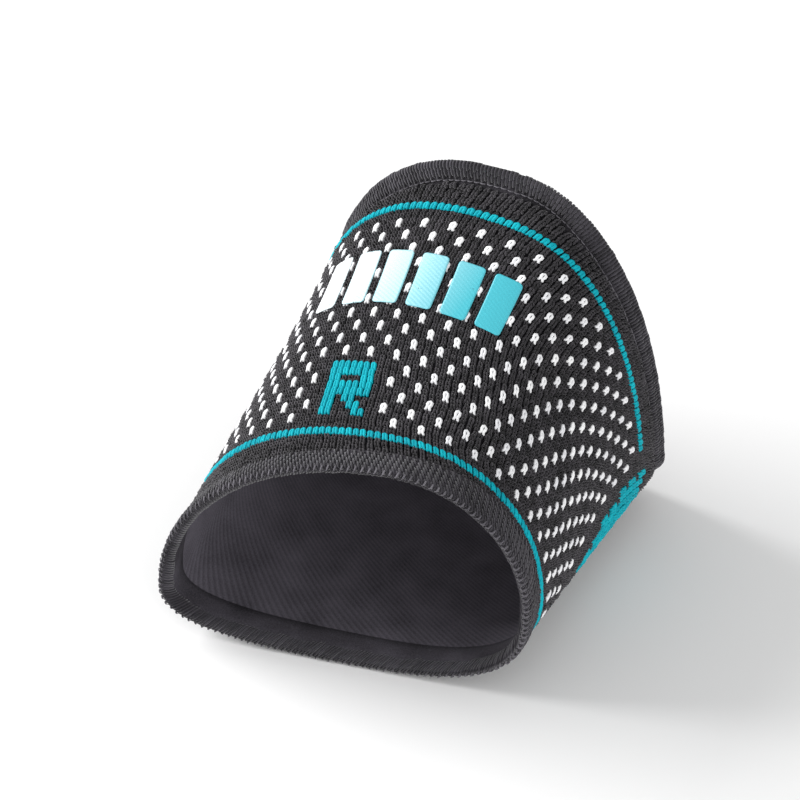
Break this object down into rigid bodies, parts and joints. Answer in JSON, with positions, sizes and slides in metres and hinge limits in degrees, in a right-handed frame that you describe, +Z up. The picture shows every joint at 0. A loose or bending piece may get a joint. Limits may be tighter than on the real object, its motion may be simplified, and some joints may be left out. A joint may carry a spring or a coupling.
{
  "type": "arch support sleeve",
  "caption": "Knitted elastic arch support sleeve for the right foot: an open tube round the midfoot with rolled edges at both ends and slanted film bars on the instep.",
  "frame": {"origin": "the foot seat: the inside of the sole, under the arch and midway between the two sides, where the foot holds the sleeve", "axes": "+Z up off the sole, -Y towards the toes, +X towards the inner (arch) side of the right foot"},
  "size_m": [0.0844, 0.0943, 0.0923],
  "materials": {
    "charcoal_yarn": "dull polyamide and elastane knit",
    "edge_yarn": "dull overlocked yarn",
    "teal_yarn": "dull knitted-in yarn",
    "white_yarn": "dull knitted-in yarn",
    "transfer_film": "satin heat-transfer film"
  },
  "bodies": {
    "root": {"knit_sleeve": "charcoal_yarn", "toe_edge": "edge_yarn", "ankle_edge": "edge_yarn", "film_bar_1": "transfer_film", "film_bar_2": "transfer_film", "film_bar_3": "transfer_film", "film_bar_4": "transfer_film", "film_bar_5": "transfer_film", "film_bar_6": "transfer_film"}
  },
  "joints": []
}
